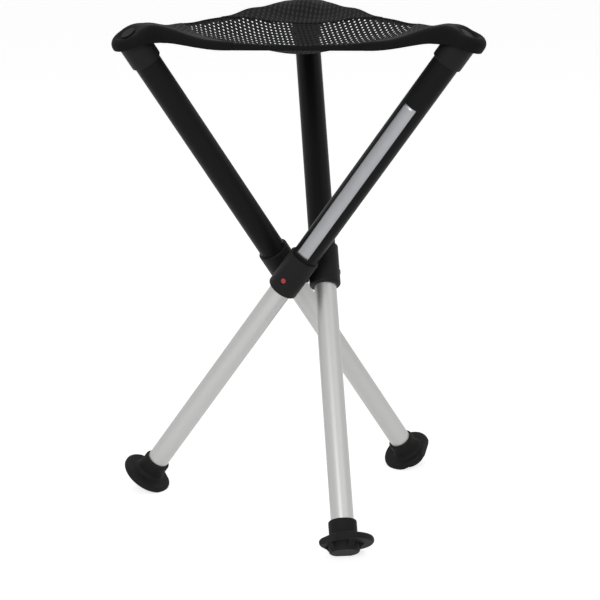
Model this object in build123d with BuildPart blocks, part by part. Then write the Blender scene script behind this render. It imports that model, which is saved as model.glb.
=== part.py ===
from build123d import *

import os
from dataclasses import dataclass
from math import atan, atan2, cos, degrees, hypot, radians, sin, sqrt

# A three-legged folding stool, in millimetres. Three telescopic legs lean past each other and
# turn on one small hub at the waist. A slung mesh seat is riveted to their tops. Places along a
# leg are measured from its pivot, upwards, and the floor is at z = 0.

# Stance of the open stool
LEG_TILT = 36.0            # lean of each leg from the vertical, degrees
LEG_NAMES = ("a", "b", "c")
REAR_LEG = 1               # the leg whose seat corner points straight back
REAR_HEADING = 90.0        # heading of that corner from +X, degrees
FOLD_GAP = 0.4             # half the gap between neighbouring feet on the folded stool

# Upper tube
UPPER_OD = 25.0
UPPER_WALL = 1.5
UPPER_TOP = 278.0          # pivot to the tube's top end

# Lower tube and its glide bush
TUBE_GAP = 0.5             # lower tube to the upper tube's bore, on the radius
LOWER_WALL = 1.2
LOWER_TOP = 40.0           # pivot to the tube's top end, leg drawn out
GLIDE_GAP = 0.15           # bush to the upper tube's bore, on the radius
GLIDE_HEAD = 6.0
GLIDE_PLUG = 10.0
GLIDE_BORE = 12.0
PLUG_FIT = 0.05            # bush to the lower tube's bore, on the radius

# Joint collar
COLLAR_WALL = 2.3          # round the upper tube
COLLAR_RISE = 26.2         # pivot to the top rim
COLLAR_DROP = 14.5         # pivot to the bottom rim
COLLAR_FOOT_ROUND = 2.5
COLLAR_TOP_ROUND = 1.0
SOCKET_FLOOR = 7.0         # pivot to the seat of the upper tube
SOCKET_FIT = 0.02
LIP_DEPTH = 4.5            # bottom lip that guides the lower tube
LIP_GAP = 0.25
BORE_GAP = 0.7             # wider bore above the lip, on the radius

# Pivot between collar and hub
RIVET_D = 5.0
RIVET_RUN = 0.05           # running clearance on the radius
RIVET_PRESS = 0.02
RIVET_APART = 1.5          # rivets' tips clear of each other inside the hub
RIVET_HEAD_D = 8.0
RIVET_HEAD = 1.6
RIVET_HEAD_PLAY = 0.1
RIVET_TUBE_GAP = 0.4       # head to the lower tube that slides past it
BOSS_D = 13.0
BOSS_RISE = 0.4
PIVOT_GAP = 0.1            # boss face to hub face
HUB_FLAT = 7.9             # stool's axis to each of the hub's three faces
HUB_HEIGHT = 14.0
HUB_ROUND = 4.0

# Release button and lock spring
BUTTON_D = 5.0
BUTTON_PROUD = 0.6
BUTTON_TRAVEL = 1.5
BUTTON_GAP = 0.1
BUTTON_DOME = 0.5
SHOULDER = 0.9
SHOULDER_PLAY = 0.1
PRESS_CLEAR = 0.4          # pressed button to the lower tube
SPOT_D = 8.0
SPOT_DEPTH = 0.7
PIN_D = 6.6
PIN_GAP = 0.1
CLIP_WIDTH = 6.0
CLIP_THICK = 0.6
CLIP_WALL_GAP = 0.35       # clip's edges to the lower tube's bore
CLIP_RISE = 4.5            # pivot to the clip's open end
CLIP_DROP = 18.0           # pivot to the start of the clip's bend

# Cap on the upper tube
CAP_WALL = 1.8             # round the upper tube
CAP_GRIP = 19.3            # cap's lower rim to the tube's top end
CAP_END = 5.5
CAP_FIT = 0.02
CAP_ROUND = 0.8

# Fabric corner and its rivet
CORNER_CLOTH = 5.2         # gathered cloth round the cap
CORNER_PAD = 5.5           # cloth between the cap's end and the rivet's head
CORNER_SKIRT = 7.0         # how far the cloth comes down round the cap, on the leg's axis
CORNER_SLANT = 16.0        # slope of the skirt's hem, degrees
CORNER_ROUND = 5.2
CLOTH_GAP = 0.3            # cloth to the pieces that it covers
STUD_D = 6.0
STUD_HEAD_D = 13.6
STUD_HEAD = 1.6
STUD_DOME = 0.9
STUD_FIT = 0.05
STUD_REACH = 3.0           # below the cap's end wall

# Slung seat
SEAT_SAG = 31.0            # corners to the middle
SEAT_STEP = 4.0            # corner pads stand this far above the panel
SEAT_HOLLOW = 25.0         # radius of the rounded bottom of the dish
BORDER_THICK = 3.0
MESH_THICK = 1.6
CORNER_HALF = 20.2         # half the seat's width where it meets a leg's cloth corner
HEM = 10.0                 # width of the hem beside the open mesh
HEM_FOLD = 3.0             # thickness of the hem's turned-down edge
HEM_DROP = 5.2             # depth of the turned-down edge at its middle; its lower line is level
PATCH_LENGTH = 65.7        # inner edge of a solid corner patch to the leg's cloth corner
SLOT_LENGTH = 6.0
SLOT_WIDTH = 3.2
SLOT_PITCH_X = 8.8
SLOT_PITCH_Y = 8.4
SLOT_MARGIN = 5.0          # slot centres to the panel's rim

# Rubber foot
FOOT_RIM = 244.5           # pivot to the foot's rim, leg drawn out
FOOT_WALL = 2.5            # sleeve round the lower tube
FOOT_GRIP = 20.0           # depth of the socket for the lower tube
FOOT_FIT = 0.02
FOOT_RIM_ROUND = 1.8
FOOT_FLARE = 4.5           # hollow round between the sleeve and the brim
FLARE_SINK = 0.2           # flare's foot below the brim's upper face
BRIM_BELOW = 19.3          # foot's rim to the brim's middle plane
BRIM_RADIUS = 25.0
BRIM_SHIFT = 2.5           # brim's centre, outwards from the leg's axis
BRIM_THICK = 6.0
BRIM_ROUND = 2.6
BASE_OD = 28.0
BASE_BELOW = 10.5          # brim's middle plane to the base's underside
BASE_ROUND = 2.0
SOLE_BITE = 2.0            # how far the floor cuts into the base's lower edge
RIB_COUNT = 5
RIB_WIDTH = 6.0
RIB_INSET = 1.5            # rib ends to the brim's flats
RIB_DROP = 5.0

# Worked-out sizes
TILT_SIN = sin(radians(LEG_TILT))
TILT_COS = cos(radians(LEG_TILT))
UPPER_RADIUS = UPPER_OD / 2
UPPER_BORE = UPPER_RADIUS - UPPER_WALL
LOWER_RADIUS = UPPER_BORE - TUBE_GAP
LOWER_BORE = LOWER_RADIUS - LOWER_WALL
LOWER_END = FOOT_RIM + FOOT_GRIP
COLLAR_RADIUS = UPPER_RADIUS + COLLAR_WALL
BOSS_FACE = COLLAR_RADIUS + BOSS_RISE
WAIST_RADIUS = HUB_FLAT + PIVOT_GAP + BOSS_FACE  # stool's axis to each leg's axis at the pivots
RIVET_START = WAIST_RADIUS - RIVET_D / 2 / sqrt(3) - RIVET_APART
RIVET_HEAD_SEAT = LOWER_RADIUS + RIVET_TUBE_GAP + RIVET_HEAD
SHOULDER_FACE = LOWER_RADIUS + PRESS_CLEAR + BUTTON_TRAVEL
CLIP_ARM = sqrt((LOWER_BORE - CLIP_WALL_GAP) ** 2 - (CLIP_WIDTH / 2) ** 2)
CAP_RADIUS = UPPER_RADIUS + CAP_WALL
CAP_RIM = UPPER_TOP - CAP_GRIP
CAP_TOP = UPPER_TOP + CAP_END
CORNER_TOP = CAP_TOP + CORNER_PAD
CORNER_RADIUS = CAP_RADIUS + CORNER_CLOTH
BRIM_DROP = FOOT_RIM + BRIM_BELOW           # pivot to the brim's middle plane
BASE_DROP = BRIM_DROP + BASE_BELOW          # pivot to the base's underside
BRIM_FLAT = WAIST_RADIUS * sqrt(3) / 2 - FOLD_GAP
WAIST_HEIGHT = BASE_DROP * TILT_COS + BASE_OD / 2 * TILT_SIN - SOLE_BITE
SPREAD = CORNER_TOP * TILT_SIN              # how far a leg's top runs out from its pivot
CORNER_REACH = hypot(WAIST_RADIUS, SPREAD)  # stool's axis to a leg's top
TOP_TURN = degrees(atan2(SPREAD, WAIST_RADIUS))
UP = Vector(0, 0, 1)


def heading(angle):
    """Level unit vector at an angle from +X."""
    return Vector(cos(radians(angle)), sin(radians(angle)), 0)


@dataclass(frozen=True)
class Leg:
    """One leg's directions and planes."""

    name: str
    facing: float      # heading from the stool's axis to the pivot
    foot: Vector       # where the stool's axis meets the floor

    @property
    def out(self):
        """Outwards along the pivot's line."""
        return heading(self.facing)

    @property
    def along(self):
        """Up the leg's axis."""
        return heading(self.facing + 90) * TILT_SIN + UP * TILT_COS

    @property
    def pivot(self):
        """The point of the leg's axis on the pivot's line."""
        return self.foot + UP * WAIST_HEIGHT + self.out * WAIST_RADIUS

    @property
    def axis(self):
        """The leg's axis, pointing up."""
        return Axis(self.pivot, self.along)

    def side(self, turn=0.0):
        """Plane through the leg's axis: x runs away from it, y up the leg."""
        x_dir = self.out.rotate(Axis((0, 0, 0), self.along), turn)
        return Plane(self.pivot, x_dir=x_dir, z_dir=x_dir.cross(self.along))

    def across(self, height):
        """Plane square to the leg, a height above the pivot."""
        return Plane(self.pivot + self.along * height, x_dir=self.out, z_dir=self.along)

    def outward(self, distance):
        """Plane square to the pivot's line, a distance outwards from the leg's axis."""
        return Plane(self.pivot + self.out * distance, x_dir=self.along, z_dir=self.out)


def make_legs(foot):
    """The three legs about a stool axis that meets the floor at a point."""
    rear = REAR_HEADING - TOP_TURN
    return [
        Leg(name, rear + 120 * (place - REAR_LEG), foot) for place, name in enumerate(LEG_NAMES)
    ]


def reach(direction):
    """How far the seat corners and the feet reach from the stool's axis in one direction."""
    reaches = []
    for leg in make_legs(Vector(0, 0, 0)):
        lean = sqrt(1 - leg.along.dot(direction) ** 2)
        corner = leg.pivot + leg.along * (CORNER_TOP - CORNER_ROUND)
        brim = leg.pivot - leg.along * BRIM_DROP + leg.out * BRIM_SHIFT
        reaches.append(corner.dot(direction) + CORNER_RADIUS * lean)
        reaches.append(brim.dot(direction) + BRIM_RADIUS * lean)
    return max(reaches)


def save(piece, name):
    """Label a finished piece and write it."""
    piece.part.label = name
    export_step(piece.part, f"parts/{name}.step")


# The origin is the middle of the stool's box on the floor, a little off the stool's axis.
STOOL_FOOT = Vector(
    (reach(Vector(-1, 0, 0)) - reach(Vector(1, 0, 0))) / 2,
    (reach(Vector(0, -1, 0)) - reach(Vector(0, 1, 0))) / 2,
    0,
)
LEGS = make_legs(STOOL_FOOT)
os.makedirs("parts", exist_ok=True)

# Hub that the three collars turn on
with BuildPart() as hub_block:
    with BuildSketch(Plane(STOOL_FOOT + UP * WAIST_HEIGHT)) as hub_plan:
        RegularPolygon(2 * HUB_FLAT, 3, rotation=LEGS[0].facing + 60)
        fillet(hub_plan.vertices(), HUB_ROUND)
    extrude(amount=HUB_HEIGHT / 2, both=True)
    for leg in LEGS:
        with BuildSketch(leg.outward(-RIVET_START)):
            Circle(RIVET_D / 2 + RIVET_PRESS)
        extrude(amount=RIVET_START, mode=Mode.SUBTRACT)
save(hub_block, "hub_block")

for leg in LEGS:
    # Upper tube, seated in the collar
    with BuildPart() as upper_tube:
        with BuildSketch(leg.across(SOCKET_FLOOR)):
            Circle(UPPER_RADIUS)
            Circle(UPPER_BORE, mode=Mode.SUBTRACT)
        extrude(amount=UPPER_TOP - SOCKET_FLOOR)
    save(upper_tube, f"upper_tube_{leg.name}")

    # Lower tube, with the hole for the lock pin
    with BuildPart() as lower_tube:
        with BuildSketch(leg.across(-LOWER_END)):
            Circle(LOWER_RADIUS)
            Circle(LOWER_BORE, mode=Mode.SUBTRACT)
        extrude(amount=LOWER_END + LOWER_TOP)
        with BuildSketch(leg.outward(0)):
            Circle(PIN_D / 2 + PIN_GAP)
        extrude(amount=2 * LOWER_RADIUS, mode=Mode.SUBTRACT)
    save(lower_tube, f"lower_tube_{leg.name}")

    # Glide bush plugged into the lower tube's top
    with BuildPart() as glide_bush:
        with BuildSketch(leg.across(LOWER_TOP)):
            Circle(UPPER_BORE - GLIDE_GAP)
        extrude(amount=GLIDE_HEAD)
        with BuildSketch(leg.across(LOWER_TOP)):
            Circle(LOWER_BORE - PLUG_FIT)
        extrude(amount=-GLIDE_PLUG)
        with BuildSketch(leg.across(LOWER_TOP - GLIDE_PLUG)):
            Circle(GLIDE_BORE / 2)
        extrude(amount=GLIDE_PLUG + GLIDE_HEAD, mode=Mode.SUBTRACT)
    save(glide_bush, f"glide_bush_{leg.name}")

    # Moulded collar: socket above, guide lip below, pivot boss inwards, button bore outwards
    with BuildPart() as joint_collar:
        with BuildSketch(leg.side()):
            with BuildLine():
                FilletPolyline(
                    (LOWER_RADIUS + LIP_GAP, -COLLAR_DROP),
                    (COLLAR_RADIUS, -COLLAR_DROP),
                    (COLLAR_RADIUS, COLLAR_RISE),
                    (UPPER_RADIUS + SOCKET_FIT, COLLAR_RISE),
                    (UPPER_RADIUS + SOCKET_FIT, SOCKET_FLOOR),
                    (LOWER_RADIUS + BORE_GAP, SOCKET_FLOOR),
                    (LOWER_RADIUS + BORE_GAP, LIP_DEPTH - COLLAR_DROP),
                    (LOWER_RADIUS + LIP_GAP, LIP_DEPTH - COLLAR_DROP),
                    radius=[0, COLLAR_FOOT_ROUND, COLLAR_TOP_ROUND, 0, 0, 0, 0, 0],
                    close=True,
                )
            make_face()
        revolve(axis=leg.axis)
        with BuildSketch(leg.outward(-BOSS_FACE)):
            Circle(BOSS_D / 2)
        extrude(amount=BOSS_FACE - RIVET_HEAD_SEAT)
        with BuildSketch(leg.outward(-BOSS_FACE)):
            Circle(RIVET_D / 2 + RIVET_RUN)
        extrude(amount=BOSS_FACE, mode=Mode.SUBTRACT)
        with BuildSketch(leg.outward(-RIVET_HEAD_SEAT - RIVET_HEAD_PLAY)):
            Circle(RIVET_HEAD_D / 2 + RIVET_HEAD_PLAY)
        extrude(amount=RIVET_HEAD_SEAT, mode=Mode.SUBTRACT)
        with BuildSketch(leg.outward(0)):
            Circle(BUTTON_D / 2 + BUTTON_GAP)
        extrude(amount=2 * COLLAR_RADIUS, mode=Mode.SUBTRACT)
        with BuildSketch(leg.outward(0)):
            Circle(PIN_D / 2 + PIN_GAP)
        extrude(amount=SHOULDER_FACE + SHOULDER + SHOULDER_PLAY, mode=Mode.SUBTRACT)
        with BuildSketch(leg.outward(COLLAR_RADIUS - SPOT_DEPTH)):
            Circle(SPOT_D / 2)
        extrude(amount=2 * COLLAR_RADIUS, mode=Mode.SUBTRACT)
    save(joint_collar, f"joint_collar_{leg.name}")

    # Rivet fixed in the hub, on which the collar turns
    with BuildPart() as pivot_rivet:
        with BuildSketch(leg.outward(-RIVET_START)):
            Circle(RIVET_D / 2)
        extrude(amount=RIVET_START - RIVET_HEAD_SEAT)
        with BuildSketch(leg.outward(-RIVET_HEAD_SEAT)):
            Circle(RIVET_HEAD_D / 2)
        extrude(amount=RIVET_HEAD)
    save(pivot_rivet, f"pivot_rivet_{leg.name}")

    # Red button with the shoulder that keeps it in the collar
    with BuildPart() as release_button:
        with BuildSketch(leg.outward(SHOULDER_FACE)):
            Circle(PIN_D / 2)
        extrude(amount=SHOULDER)
        with BuildSketch(leg.outward(SHOULDER_FACE + SHOULDER)):
            Circle(BUTTON_D / 2)
        extrude(amount=COLLAR_RADIUS + BUTTON_PROUD - SHOULDER_FACE - SHOULDER)
        fillet(release_button.edges().sort_by(Axis(leg.pivot, leg.out))[-1], BUTTON_DOME)
    save(release_button, f"release_button_{leg.name}")

    # Spring clip inside the lower tube, with the lock pin behind the button
    with BuildPart() as lock_spring:
        with BuildSketch(leg.side()):
            with BuildLine():
                for radius in (CLIP_ARM, CLIP_ARM - CLIP_THICK):
                    Line((-radius, CLIP_RISE), (-radius, -CLIP_DROP))
                    ThreePointArc(
                        (-radius, -CLIP_DROP), (0, -CLIP_DROP - radius), (radius, -CLIP_DROP)
                    )
                    Line((radius, -CLIP_DROP), (radius, CLIP_RISE))
                for end in (-1, 1):
                    Line((end * CLIP_ARM, CLIP_RISE), (end * (CLIP_ARM - CLIP_THICK), CLIP_RISE))
            make_face()
        extrude(amount=CLIP_WIDTH / 2, both=True)
        with BuildSketch(leg.outward(CLIP_ARM - CLIP_THICK)):
            Circle(PIN_D / 2)
        extrude(amount=SHOULDER_FACE - CLIP_ARM + CLIP_THICK)
    save(lock_spring, f"lock_spring_{leg.name}")

    # Cap over the upper tube's top end
    with BuildPart() as top_cap:
        with BuildSketch(leg.side()):
            with BuildLine():
                FilletPolyline(
                    (UPPER_RADIUS + CAP_FIT, CAP_RIM),
                    (CAP_RADIUS, CAP_RIM),
                    (CAP_RADIUS, CAP_TOP),
                    (STUD_D / 2 + STUD_FIT, CAP_TOP),
                    (STUD_D / 2 + STUD_FIT, UPPER_TOP),
                    (UPPER_RADIUS + CAP_FIT, UPPER_TOP),
                    radius=[0, CAP_ROUND, CAP_ROUND, 0, 0, 0],
                    close=True,
                )
            make_face()
        revolve(axis=leg.axis)
    save(top_cap, f"top_cap_{leg.name}")

    # Rounded cloth corner drawn over the cap, its hem slanting up towards the outside
    hem_normal = leg.along.rotate(Axis((0, 0, 0), leg.out), CORNER_SLANT)
    hem_plane = Plane(leg.pivot + leg.along * (CAP_TOP - CORNER_SKIRT), z_dir=hem_normal)
    with BuildPart() as seat_corner:
        with BuildSketch(leg.across(CAP_RIM)):
            Circle(CORNER_RADIUS)
        extrude(amount=CORNER_TOP - CAP_RIM)
        split(bisect_by=hem_plane, keep=Keep.TOP)
        fillet(seat_corner.edges().filter_by(GeomType.CIRCLE), CORNER_ROUND)
        with BuildSketch(leg.across(CAP_RIM)):
            Circle(CAP_RADIUS + CLOTH_GAP)
        extrude(amount=CAP_TOP + CLOTH_GAP - CAP_RIM, mode=Mode.SUBTRACT)
        with BuildSketch(leg.across(CAP_TOP)):
            Circle(STUD_D / 2 + CLOTH_GAP)
        extrude(amount=CORNER_PAD, mode=Mode.SUBTRACT)
    save(seat_corner, f"seat_corner_{leg.name}")

    # Broad-headed rivet that holds the cloth corner on the cap
    with BuildPart() as corner_rivet:
        with BuildSketch(leg.across(UPPER_TOP - STUD_REACH)):
            Circle(STUD_D / 2)
        extrude(amount=CORNER_TOP - UPPER_TOP + STUD_REACH)
        with BuildSketch(leg.across(CORNER_TOP)):
            Circle(STUD_HEAD_D / 2)
        extrude(amount=STUD_HEAD)
        fillet(corner_rivet.edges().sort_by(leg.axis)[-1], STUD_DOME)
    save(corner_rivet, f"corner_rivet_{leg.name}")

    # Rubber foot: sleeve, wide brim with two flats that meet the other feet, ribs and base
    with BuildPart() as foot:
        with BuildSketch(leg.across(-BRIM_DROP - BRIM_THICK / 2)):
            with Locations((BRIM_SHIFT, 0)):
                Circle(BRIM_RADIUS)
        extrude(amount=BRIM_THICK)
        fillet(foot.edges().filter_by(GeomType.CIRCLE), BRIM_ROUND)
        for turn in (150, 210):
            toward_foot = leg.out.rotate(Axis((0, 0, 0), leg.along), turn)
            flat = Plane(leg.pivot + toward_foot * BRIM_FLAT, z_dir=toward_foot)
            split(bisect_by=flat, keep=Keep.BOTTOM)
        sleeve = LOWER_RADIUS + FOOT_WALL
        flare_end = BRIM_THICK / 2 - FLARE_SINK - BRIM_DROP
        with BuildSketch(leg.side()):
            with BuildLine():
                FilletPolyline(
                    (0, -BRIM_DROP),
                    (sleeve + FOOT_FLARE + FLARE_SINK, -BRIM_DROP),
                    (sleeve + FOOT_FLARE + FLARE_SINK, flare_end),
                    (sleeve, flare_end),
                    (sleeve, -FOOT_RIM),
                    (0, -FOOT_RIM),
                    radius=[0, 0, 0, FOOT_FLARE, FOOT_RIM_ROUND, 0],
                    close=True,
                )
            make_face()
        revolve(axis=leg.axis)
        with BuildSketch(leg.side()):
            with BuildLine():
                FilletPolyline(
                    (0, -BRIM_DROP),
                    (BASE_OD / 2, -BRIM_DROP),
                    (BASE_OD / 2, -BASE_DROP),
                    (0, -BASE_DROP),
                    radius=[0, 0, BASE_ROUND, 0],
                    close=True,
                )
            make_face()
        revolve(axis=leg.axis)
        for rib in range(RIB_COUNT):
            with BuildSketch(leg.side(rib * 360 / RIB_COUNT)):
                with BuildLine():
                    Polyline(
                        (0, -BRIM_DROP),
                        (BRIM_FLAT - RIB_INSET, -BRIM_DROP),
                        (BRIM_FLAT - RIB_INSET, -BRIM_DROP - BRIM_THICK / 2),
                        (BASE_OD / 2, -BRIM_DROP - BRIM_THICK / 2 - RIB_DROP),
                        (0, -BRIM_DROP - BRIM_THICK / 2 - RIB_DROP),
                        close=True,
                    )
                make_face()
            extrude(amount=RIB_WIDTH / 2, both=True)
        with BuildSketch(leg.across(-LOWER_END)):
            Circle(LOWER_RADIUS + FOOT_FIT)
        extrude(amount=FOOT_GRIP, mode=Mode.SUBTRACT)
        split(bisect_by=Plane.XY, keep=Keep.TOP)
    save(foot, f"foot_{leg.name}")

# Slung seat: a shallow dish about the stool's axis, cut to the seat's outline
CORNER_Z = WAIST_HEIGHT + CORNER_TOP * TILT_COS + CORNER_RADIUS * TILT_SIN - SEAT_STEP
DISH_RIM = CORNER_REACH - CORNER_RADIUS * TILT_COS
DISH_SLOPE = SEAT_SAG / (DISH_RIM - SEAT_HOLLOW / 2)
DISH_ANGLE = atan(DISH_SLOPE)
HOLLOW_BEND = SEAT_HOLLOW / sin(DISH_ANGLE)
HOLLOW_RISE = HOLLOW_BEND * (1 - cos(DISH_ANGLE))
DISH_MIDDLE = CORNER_Z - HOLLOW_RISE - DISH_SLOPE * (DISH_RIM - SEAT_HOLLOW)
DISH_REACH = CORNER_REACH + CORNER_RADIUS
DISH_END = CORNER_Z + DISH_SLOPE * (DISH_REACH - DISH_RIM)
SEAT_EDGE = DISH_RIM / 2 + CORNER_HALF * sqrt(3) / 2  # stool's axis to an edge of the seat
PATCH_EDGE = DISH_RIM - PATCH_LENGTH
MESH_EDGE = SEAT_EDGE - HEM
HEM_LEVEL = DISH_END - DISH_SLOPE * (DISH_REACH - SEAT_EDGE) - HEM_DROP
HEM_START = SEAT_EDGE - 2 * HEM_FOLD
BELOW_SEAT = DISH_MIDDLE - 2 * BORDER_THICK


def dish_line(drop):
    """The dish's line in section, a drop below the top of the seat."""
    half_angle = DISH_ANGLE / 2
    middle = DISH_MIDDLE - drop
    ThreePointArc(
        (0, middle),
        (HOLLOW_BEND * sin(half_angle), middle + HOLLOW_BEND * (1 - cos(half_angle))),
        (SEAT_HOLLOW, middle + HOLLOW_RISE),
    )
    Line((SEAT_HOLLOW, middle + HOLLOW_RISE), (DISH_REACH, DISH_END - drop))


def six_sided(edge, corner):
    """Corners of a six-sided outline: long sides at one distance, seat corners at another."""
    points = []
    half_side = (corner - edge / 2) / (sqrt(3) / 2)
    for turn in range(3):
        square = 150 + 120 * turn
        for side in (-half_side, half_side):
            points.append(heading(square) * edge + heading(square + 90) * side)
    return points


def in_panel(point):
    """Whether a slot's centre lies far enough inside the mesh panel's outline."""
    for turn in range(3):
        if heading(150 + 120 * turn).dot(point) > MESH_EDGE - SLOT_MARGIN:
            return False
        if heading(90 + 120 * turn).dot(point) > PATCH_EDGE - SLOT_MARGIN:
            return False
    return True


SLOT_ROWS = int(CORNER_REACH / SLOT_PITCH_Y)
SLOT_COLUMNS = int(CORNER_REACH / SLOT_PITCH_X)
SLOT_GRID = [
    Vector(column * SLOT_PITCH_X, row * SLOT_PITCH_Y)
    for column in range(-SLOT_COLUMNS, SLOT_COLUMNS + 1)
    for row in range(-SLOT_ROWS, SLOT_ROWS + 1)
]
SLOT_CENTRES = [point for point in SLOT_GRID if in_panel(point)]
SEAT_PLAN = Plane(STOOL_FOOT)
SEAT_SECTION = Plane(STOOL_FOOT, x_dir=(1, 0, 0), z_dir=(0, -1, 0))
UNDER_SECTION = Plane(STOOL_FOOT, x_dir=(0, -1, 0), z_dir=(-1, 0, 0))
STOOL_AXIS = Axis(STOOL_FOOT, UP)

# Open mesh in the middle of the seat
with BuildPart() as seat_mesh:
    with BuildSketch(SEAT_SECTION):
        with BuildLine():
            dish_line(0)
            dish_line(MESH_THICK)
            Line((0, DISH_MIDDLE), (0, DISH_MIDDLE - MESH_THICK))
            Line((DISH_REACH, DISH_END), (DISH_REACH, DISH_END - MESH_THICK))
        make_face()
    revolve(axis=STOOL_AXIS)
    with BuildSketch(SEAT_PLAN):
        with BuildLine():
            Polyline(*six_sided(MESH_EDGE, PATCH_EDGE), close=True)
        make_face()
        with Locations(*SLOT_CENTRES):
            SlotOverall(SLOT_LENGTH, SLOT_WIDTH, rotation=90, mode=Mode.SUBTRACT)
    extrude(amount=DISH_END, mode=Mode.INTERSECT)
save(seat_mesh, "seat_mesh")

# Space under the border's cloth, inside its turned-down edge
with BuildPart() as under_border:
    with BuildSketch(UNDER_SECTION):
        with BuildLine():
            Polyline(
                (0, DISH_END - BORDER_THICK - DISH_SLOPE * DISH_REACH),
                (DISH_REACH, DISH_END - BORDER_THICK),
                (DISH_REACH, 0),
                (0, 0),
                close=True,
            )
        make_face()
    revolve(axis=STOOL_AXIS)
    with BuildSketch(SEAT_PLAN):
        with BuildLine():
            Polyline(*six_sided(SEAT_EDGE - HEM_FOLD, DISH_RIM + HEM_FOLD), close=True)
        make_face()
    extrude(amount=DISH_END, mode=Mode.INTERSECT)

# Hemmed border with solid corner patches, ending round the leg's cloth corners
with BuildPart() as seat_border:
    with BuildSketch(SEAT_SECTION):
        with BuildLine():
            Polyline(
                (SEAT_HOLLOW, DISH_END - DISH_SLOPE * (DISH_REACH - SEAT_HOLLOW)),
                (DISH_REACH, DISH_END),
                (DISH_REACH, HEM_LEVEL),
                (HEM_START, HEM_LEVEL),
                (HEM_START, BELOW_SEAT),
                (SEAT_HOLLOW, BELOW_SEAT),
                close=True,
            )
        make_face()
    revolve(axis=STOOL_AXIS)
    with BuildSketch(SEAT_PLAN):
        with BuildLine():
            Polyline(*six_sided(SEAT_EDGE, DISH_RIM), close=True)
        make_face()
        with BuildLine():
            Polyline(*six_sided(MESH_EDGE, PATCH_EDGE), close=True)
        make_face(mode=Mode.SUBTRACT)
    extrude(amount=DISH_END, mode=Mode.INTERSECT)
    add(under_border, mode=Mode.SUBTRACT)
    for leg in LEGS:
        with BuildSketch(leg.across(0)):
            Circle(CORNER_RADIUS + CLOTH_GAP)
        extrude(amount=CORNER_TOP + 2 * CORNER_RADIUS, mode=Mode.SUBTRACT)
save(seat_border, "seat_border")

print(f"waist height {WAIST_HEIGHT:.2f}, slots {len(SLOT_CENTRES)}, axis at {STOOL_FOOT}")
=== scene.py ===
"""Looks of a folding tripod stool: telescopic legs, rubber feet and a slung mesh seat."""

import logging
import math
from dataclasses import dataclass, field
from enum import Enum
from functools import partial
from typing import Callable, NamedTuple

import bmesh
import bpy
from mathutils import Matrix, Vector


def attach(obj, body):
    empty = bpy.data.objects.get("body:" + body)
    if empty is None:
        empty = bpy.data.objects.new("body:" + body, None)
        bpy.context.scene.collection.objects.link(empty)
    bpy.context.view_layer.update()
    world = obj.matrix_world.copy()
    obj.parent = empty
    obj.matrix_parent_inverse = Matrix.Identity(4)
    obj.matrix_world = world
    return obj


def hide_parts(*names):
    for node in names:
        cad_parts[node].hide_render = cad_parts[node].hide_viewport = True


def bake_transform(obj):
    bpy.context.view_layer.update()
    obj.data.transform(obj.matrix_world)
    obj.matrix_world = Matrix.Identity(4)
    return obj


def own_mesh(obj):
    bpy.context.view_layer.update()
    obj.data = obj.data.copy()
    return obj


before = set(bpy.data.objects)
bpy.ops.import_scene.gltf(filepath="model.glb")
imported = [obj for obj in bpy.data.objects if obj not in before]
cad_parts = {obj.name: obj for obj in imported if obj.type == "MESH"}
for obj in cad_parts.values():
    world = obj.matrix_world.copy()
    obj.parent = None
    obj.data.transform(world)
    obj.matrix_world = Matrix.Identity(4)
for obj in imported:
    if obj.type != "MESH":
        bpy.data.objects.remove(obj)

LOG = logging.getLogger("stool")
MM = 0.001
# Point attributes that the seat's cloth gives its material: where it is plain, and where a highlight is painted
# along the patches' inner edge
PLAIN = "plain"
SEAM_HIGHLIGHT = "seam_highlight"
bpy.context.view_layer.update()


class Slot(Enum):
    """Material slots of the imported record."""

    BLACK_TUBE = "black_tube"
    BARE_TUBE = "bare_tube"
    NYLON = "nylon"
    RIVET = "rivet_plastic"
    BUTTON = "red_button"
    STEEL = "steel"
    RUBBER = "foot_rubber"
    CLOTH = "seat_cloth"
    MESH = "seat_mesh"


def linear(hex_colour: str) -> tuple[float, float, float, float]:
    """Turn an sRGB hex colour into linear values.

    Args:
        hex_colour: Six hex digits, with or without a hash.

    Returns:
        Linear red, green, blue and an alpha of 1.
    """
    digits = hex_colour.lstrip("#")
    values = [int(digits[i:i + 2], 16) / 255 for i in (0, 2, 4)]
    red, green, blue = [v / 12.92 if v <= 0.04045 else ((v + 0.055) / 1.055) ** 2.4 for v in values]
    return red, green, blue, 1.0


def smooth_step(low: float, high: float, value: float) -> float:
    """Ease from 0 at low to 1 at high.

    Args:
        low: Value where the step starts.
        high: Value where it ends.
        value: Value to ease.

    Returns:
        Eased share from 0 to 1.
    """
    share = min(1.0, max(0.0, (value - low) / (high - low)))
    return share * share * (3 - 2 * share)


def smooth_min(first: float, second: float, reach: float) -> float:
    """Least of two values, rounded where they meet.

    Args:
        first: One value.
        second: The other value.
        reach: Difference within which the meeting is rounded.

    Returns:
        The rounded minimum.
    """
    near = max(reach - abs(first - second), 0.0) / reach
    return min(first, second) - near * near * reach / 4


def add_node(tree: bpy.types.NodeTree, kind: str, links: dict | None = None,
             **settings: object) -> bpy.types.Node:
    """Add one shader node with its settings and links.

    Args:
        tree: Node tree that takes the node.
        kind: Node type, such as ShaderNodeTexNoise.
        links: Input names or indexes with the sockets or values that go into them.
        **settings: Properties of the node itself.

    Returns:
        The new node.
    """
    node = tree.nodes.new(kind)
    for name, value in settings.items():
        setattr(node, name, value)
    for name, value in (links or {}).items():
        if isinstance(value, bpy.types.NodeSocket):
            tree.links.new(value, node.inputs[name])
        else:
            node.inputs[name].default_value = value
    return node


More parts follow.
